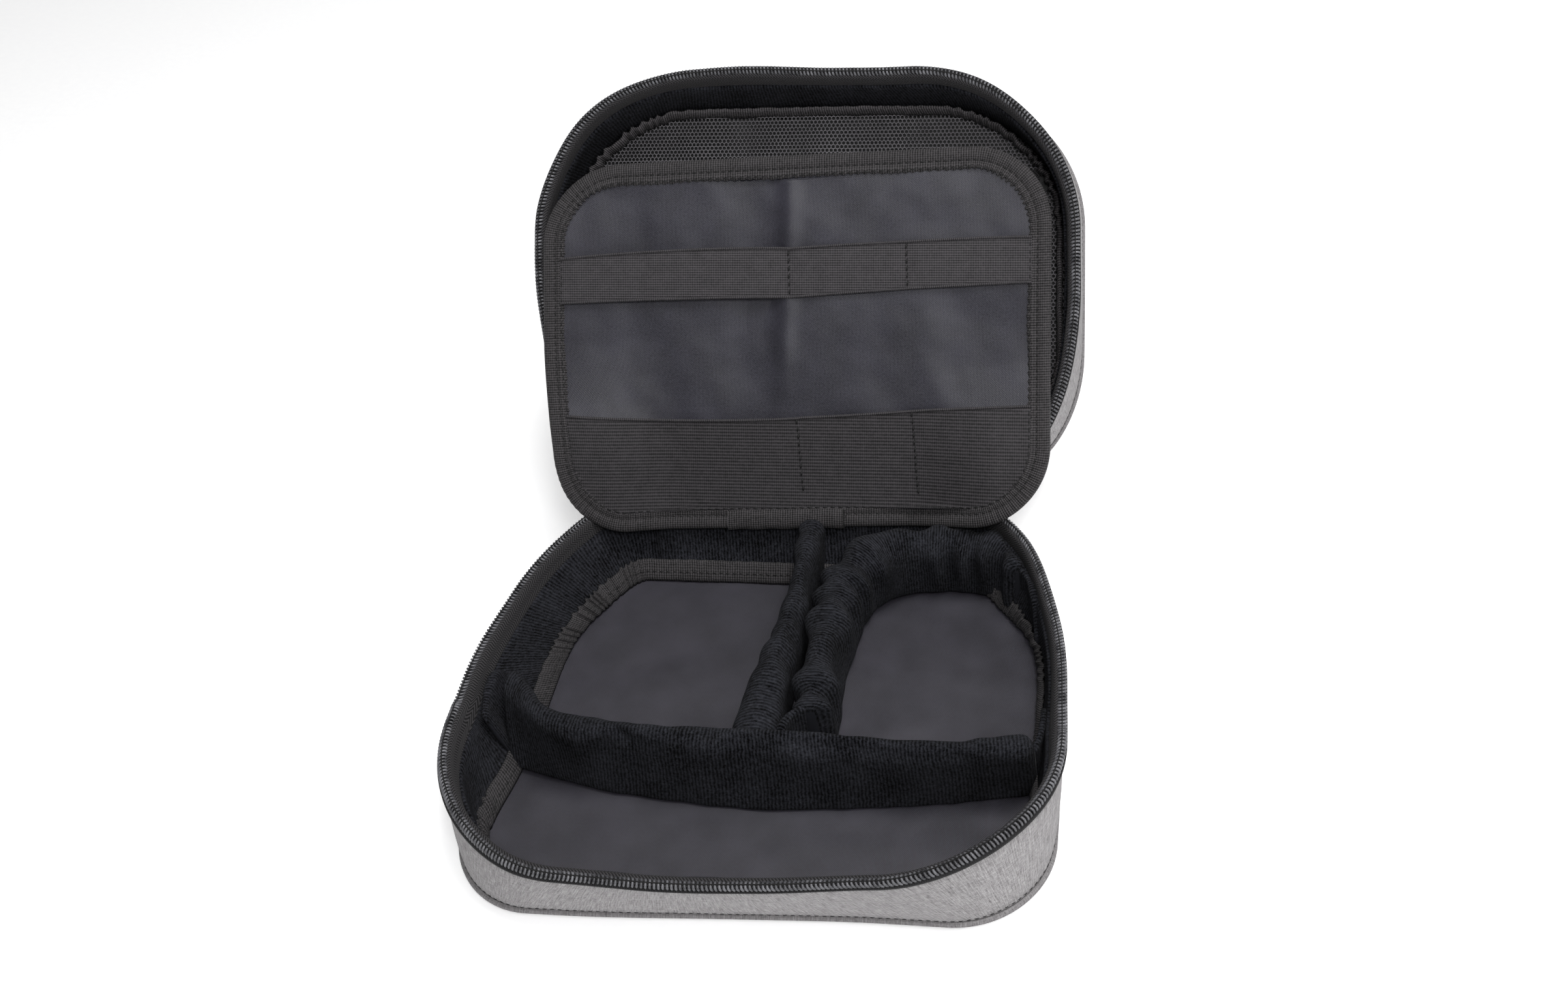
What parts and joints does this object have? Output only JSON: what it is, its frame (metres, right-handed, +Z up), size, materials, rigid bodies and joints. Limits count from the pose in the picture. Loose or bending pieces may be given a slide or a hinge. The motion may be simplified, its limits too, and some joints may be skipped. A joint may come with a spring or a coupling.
{
  "type": "cable organizer pouch",
  "caption": "Zip-around soft case, standing open, with padded dividers in the tray, an organiser flap with elastic loops and a mesh pocket in the lid.",
  "frame": {"origin": "centre of the tray's flat bottom face, which stands on the table", "axes": "+Z up, -Y towards the front of the tray, +Y towards the hinge and the open lid, +X to the right as seen from the front"},
  "size_m": [0.2494, 0.3337, 0.2025],
  "materials": {
    "shell_fabric": "heathered grey woven polyester, matt",
    "piping_fabric": "rolled seam in the same grey woven polyester, tighter and darker",
    "foam": "light closed-cell foam, matt",
    "board": "stiffening sheet, matt",
    "floor_lining": "charcoal coated taffeta with a fine diagonal weave, slight sheen",
    "fleece": "black brushed loop fleece, very matt with a soft pile",
    "grosgrain": "black ribbed binding tape",
    "zipper_tape": "black herringbone zipper tape",
    "zipper_coil": "black nylon coil, satin",
    "slider_metal": "black painted metal, semi-gloss",
    "mesh": "black open knitted mesh",
    "elastic": "black woven elastic with fine ribs",
    "thread": "black polyester thread",
    "hook_tape": "black hook tape"
  },
  "bodies": {
    "base": {"tray_outer_panel": "shell_fabric", "tray_piping": "piping_fabric", "tray_outer_wall": "shell_fabric", "tray_wall_foam": "foam", "tray_panel_board": "board", "tray_panel_lining": "floor_lining", "tray_wall_lining": "fleece", "tray_seam_binding": "grosgrain", "tray_zipper_tape": "zipper_tape", "tray_zipper_coil": "zipper_coil", "tray_zipper_stops": "slider_metal", "tray_hinge_tape": "grosgrain", "tray_hinge_spine": "grosgrain"},
    "lid": {"lid_outer_panel": "shell_fabric", "lid_piping": "piping_fabric", "lid_outer_wall": "shell_fabric", "lid_wall_foam": "foam", "lid_panel_board": "board", "lid_panel_lining": "floor_lining", "lid_wall_lining": "fleece", "lid_seam_binding": "grosgrain", "lid_zipper_tape": "zipper_tape", "lid_zipper_coil": "zipper_coil", "lid_zipper_stops": "slider_metal", "lid_hinge_tape": "grosgrain", "lid_hinge_spine": "grosgrain", "pocket_mesh_lower": "mesh", "pocket_mesh_upper": "mesh", "pocket_zipper_tape": "zipper_tape", "pocket_zipper_coil": "zipper_coil", "flap_hinge_strip": "grosgrain"},
    "flap": {"flap_board": "board", "flap_front_fabric": "floor_lining", "flap_back_fabric": "floor_lining", "flap_binding": "grosgrain", "flap_elastic_upper": "elastic", "flap_elastic_lower": "elastic", "flap_stitching": "thread"},
    "long_divider": {"long_divider_foam": "foam", "long_divider_cover": "fleece", "long_divider_hook_tabs": "hook_tape"},
    "mid_divider": {"mid_divider_foam": "foam", "mid_divider_cover": "fleece", "mid_divider_hook_tabs": "hook_tape"},
    "arch_divider": {"arch_divider_foam": "foam", "arch_divider_cover": "fleece", "arch_divider_hook_tabs": "hook_tape"},
    "slider_left": {"zipper_slider_left": "slider_metal"},
    "slider_right": {"zipper_slider_right": "slider_metal"},
    "pull_left": {"zipper_pull_left": "slider_metal"},
    "pull_right": {"zipper_pull_right": "slider_metal"},
    "pocket_slider": {"pocket_slider": "slider_metal"},
    "pocket_pull": {"pocket_pull": "slider_metal"}
  },
  "joints": [
    {"name": "lid_hinge", "type": "hinge", "parent": "base", "child": "lid", "pos_m": [0, 0.0996, 0.038], "axis": [-1, 0, 0], "range_deg": [-123, 57]},
    {"name": "flap_hinge", "type": "hinge", "parent": "lid", "child": "flap", "pos_m": [0, 0.09817, 0.04131], "axis": [1, 0, 0], "range_deg": [0, 105]},
    {"name": "long_divider_lift", "type": "slide", "parent": "base", "child": "long_divider", "axis": [0, 0, 1], "range_m": [0, 0.036]},
    {"name": "mid_divider_lift", "type": "slide", "parent": "base", "child": "mid_divider", "axis": [0, 0, 1], "range_m": [0, 0.036]},
    {"name": "arch_divider_lift", "type": "slide", "parent": "base", "child": "arch_divider", "axis": [0, 0, 1], "range_m": [0, 0.036]},
    {"name": "slider_left_run", "type": "slide", "parent": "base", "child": "slider_left", "axis": [-0.8364, -0.5482, 0], "range_m": [0, 0.006]},
    {"name": "slider_right_run", "type": "slide", "parent": "base", "child": "slider_right", "axis": [0.8364, -0.5482, 0], "range_m": [0, 0.006]},
    {"name": "pull_left_swing", "type": "hinge", "parent": "slider_left", "child": "pull_left", "pos_m": [-0.0887, 0.0979, 0.0355], "axis": [-0.8364, -0.5482, 0], "range_deg": [-60, 0]},
    {"name": "pull_right_swing", "type": "hinge", "parent": "slider_right", "child": "pull_right", "pos_m": [0.0887, 0.0979, 0.0355], "axis": [-0.8364, 0.5482, 0], "range_deg": [-60, 0]},
    {"name": "pocket_slider_run", "type": "slide", "parent": "lid", "child": "pocket_slider", "axis": [-1, 0, 0], "range_m": [0, 0.196]},
    {"name": "pocket_pull_swing", "type": "hinge", "parent": "pocket_slider", "child": "pocket_pull", "pos_m": [0.098, 0.1992, 0.14216], "axis": [-1, 0, 0], "range_deg": [0, 150]}
  ]
}
